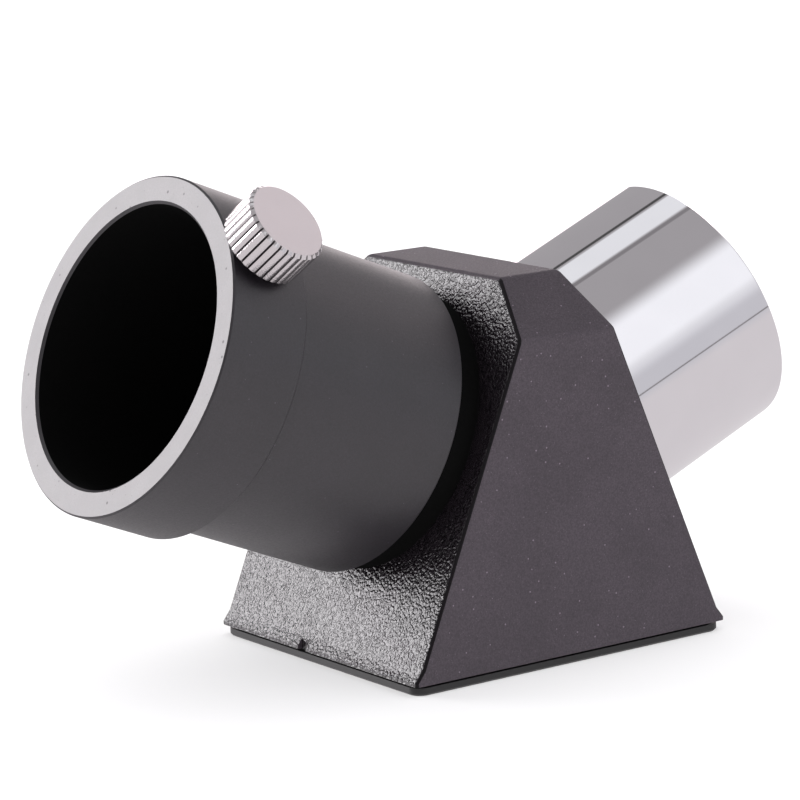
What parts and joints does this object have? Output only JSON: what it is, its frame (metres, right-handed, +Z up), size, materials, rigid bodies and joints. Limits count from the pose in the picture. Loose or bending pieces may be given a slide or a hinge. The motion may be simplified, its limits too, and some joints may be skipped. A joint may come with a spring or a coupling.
{
  "type": "star diagonal",
  "caption": "Roof-prism star diagonal that bends the light path by 45 degrees, with a wedge-shaped housing, a bored eyepiece holder with a knurled thumbscrew, and a plain nosepiece.",
  "frame": {"origin": "centre of the base cover's underside, which is the flat face that the diagonal rests on", "axes": "+Z up out of the base; +X towards the nosepiece, -X towards the eyepiece end; both light axes lie in the plane Y = 0 and rise at 22.5 degrees from where they cross, at (0, 0, 0.0209)"},
  "size_m": [0.0922, 0.0399, 0.0575],
  "materials": {
    "housing_plastic": "leather-grained black moulded plastic",
    "cover_paint": "satin black paint",
    "gasket_rubber": "matt black",
    "screw_steel": "plain steel",
    "tube_anodised": "satin black anodised, with the rim's end face bare",
    "ring_anodised": "matt black anodised",
    "nosepiece_chrome": "polished chrome plate",
    "knob_chrome": "polished chrome plate",
    "stud_steel": "bright steel thread",
    "prism_glass": "polished",
    "carrier_plastic": "matt black",
    "pad_rubber": "matt black",
    "spring_steel": "rolled spring steel",
    "mask_paint": "flat black"
  },
  "bodies": {
    "diagonal": {"housing": "housing_plastic", "base_cover": "cover_paint", "cover_gasket": "gasket_rubber", "cover_screws": "screw_steel", "eyepiece_tube": "tube_anodised", "eyepiece_lock_ring": "ring_anodised", "nosepiece_tube": "nosepiece_chrome", "nosepiece_lock_ring": "ring_anodised", "roof_prism": "prism_glass", "prism_carrier": "carrier_plastic", "seat_pads_eyepiece_side": "pad_rubber", "seat_pads_nosepiece_side": "pad_rubber", "side_pad_left": "pad_rubber", "side_pad_right": "pad_rubber", "prism_clip": "spring_steel", "clip_pad": "pad_rubber", "clip_screws": "screw_steel", "carrier_screws": "screw_steel", "eyepiece_side_mask": "mask_paint", "nosepiece_side_mask": "mask_paint"},
    "screw_shank": {"thumbscrew_stud": "stud_steel"},
    "screw_head": {"thumbscrew_knob": "knob_chrome"}
  },
  "joints": [
    {"name": "thumbscrew_travel", "type": "slide", "parent": "diagonal", "child": "screw_shank", "axis": [0.2658, -0.7193, 0.6418], "range_m": [-0.00035, 0.0028]},
    {"name": "thumbscrew_turn", "type": "hinge", "parent": "screw_shank", "child": "screw_head", "pos_m": [-0.03689, -0.01417, 0.05099], "axis": [0.2658, -0.7193, 0.6418], "range_deg": [-180, 1440]}
  ],
  "couplings": [
    {"joint": "thumbscrew_travel", "follows": "thumbscrew_turn", "m_per_rad": 0.00011141}
  ]
}
